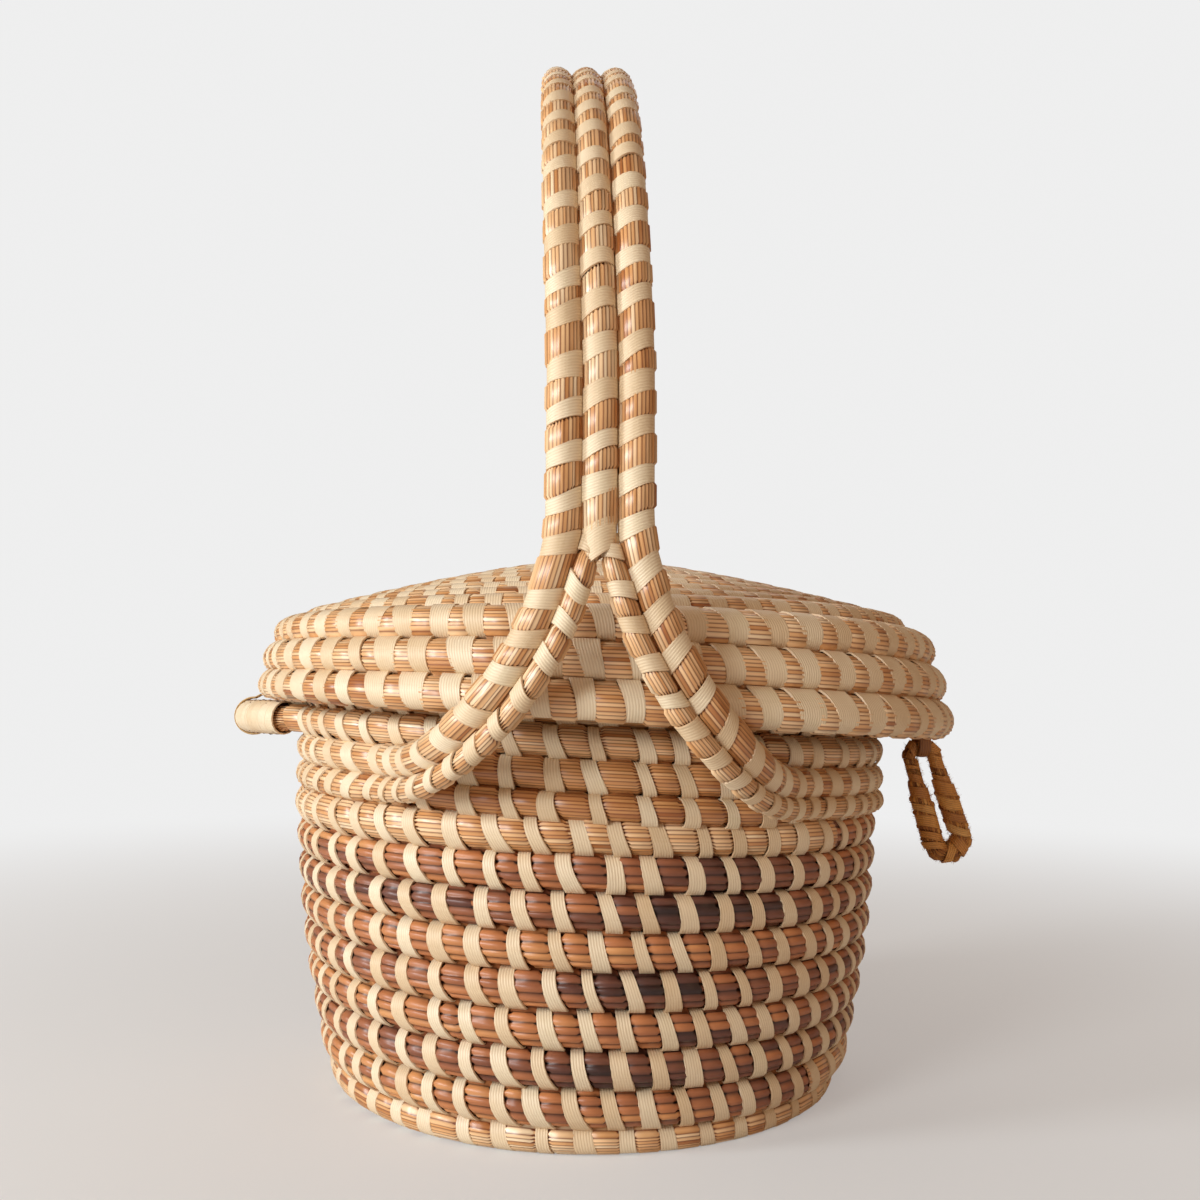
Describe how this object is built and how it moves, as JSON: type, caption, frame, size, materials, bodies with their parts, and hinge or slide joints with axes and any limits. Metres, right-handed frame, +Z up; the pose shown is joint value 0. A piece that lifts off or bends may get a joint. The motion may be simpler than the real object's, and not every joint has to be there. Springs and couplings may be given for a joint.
{
  "type": "lidded coiled grass basket",
  "caption": "Round lidded basket of coiled grass sewn with palm strips, with an arched cross handle, a lid hinged on a wrapped loop and a hanging latch loop.",
  "frame": {"origin": "centre of the base's underside, on the surface that the basket stands on", "axes": "+Z up; -X towards the hinge loop, +X towards the latch loop; the handle's arch stands in the YZ plane, with -Y the pictured side"},
  "size_m": [0.2725, 0.2748, 0.3524],
  "materials": {
    "sweetgrass": "fine dry grass blades, satin, sewn with cream palm strips",
    "bulrush": "thick round red-brown stems, satin",
    "palm_strip": "split palm leaf with fine lengthwise veins, satin",
    "brown_grass": "dark fuzzy wrapped grass, matte"
  },
  "bodies": {
    "basket": {"base_start_knot": "sweetgrass", "base_coil": "sweetgrass", "sweetgrass_wall_coil": "sweetgrass", "handle_left_coil": "sweetgrass", "handle_right_coil": "sweetgrass", "handle_middle_coil": "sweetgrass", "handle_left_strand": "sweetgrass", "handle_right_strand": "sweetgrass", "lower_gap_row_near": "sweetgrass", "upper_gap_row_near": "sweetgrass", "lower_gap_row_far": "sweetgrass", "upper_gap_row_far": "sweetgrass", "rim_coil": "sweetgrass", "neck_coil": "sweetgrass", "bulrush_wall_coil": "bulrush", "hinge_loop": "palm_strip"},
    "lid": {"lid_start_knot": "sweetgrass", "lid_top_coil": "sweetgrass", "lid_skirt_coil": "sweetgrass", "lid_hinge_tie": "palm_strip", "latch_tie": "palm_strip"},
    "latch": {"latch_loop": "brown_grass"}
  },
  "joints": [
    {"name": "lid_hinge", "type": "hinge", "parent": "basket", "child": "lid", "pos_m": [-0.12323, 0, 0.12257], "axis": [0, -1, 0], "range_deg": [0, 54]},
    {"name": "latch_swing", "type": "hinge", "parent": "lid", "child": "latch", "pos_m": [0.1227, 0, 0.10909], "axis": [0, -1, 0], "range_deg": [-30, 85]}
  ]
}
